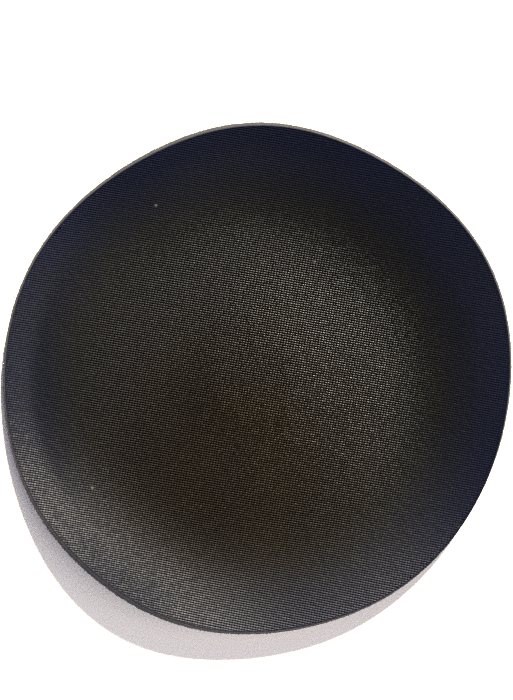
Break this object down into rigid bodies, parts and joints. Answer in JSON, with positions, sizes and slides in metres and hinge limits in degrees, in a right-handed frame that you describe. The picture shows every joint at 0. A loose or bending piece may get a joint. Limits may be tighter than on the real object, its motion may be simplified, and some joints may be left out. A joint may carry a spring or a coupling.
{
  "type": "polishing pad",
  "caption": "Thin flexible polishing disc with a woven coated working face, a foam core and a hook-and-loop backing, its rim curled up into a shallow wavy dish.",
  "frame": {"origin": "on the plane that the loop fabric rests on, under the middle of the disc; the underside has sprung up 0.64 mm above it there", "axes": "+Z out of the working face; the rim curls up highest towards 240 degrees from +X, anticlockwise, and has its short turn-up towards -X"},
  "size_m": [0.1483, 0.1478, 0.0142],
  "materials": {
    "loop_fabric": "brushed nylon loop pile, matte, charcoal black",
    "bond_film": "dried contact adhesive, dull amber, slightly translucent",
    "foam": "closed-cell foam rubber, matte, dark grey, open cells on the cut edge",
    "coated_weave": "ribbed, weft-faced cloth with a thin rubbery coating, warm black, dull sheen"
  },
  "bodies": {
    "root": {"loop_backing": "loop_fabric", "backing_bond_film": "bond_film", "foam_core": "foam", "face_bond_film": "bond_film", "working_face": "coated_weave"}
  },
  "joints": []
}
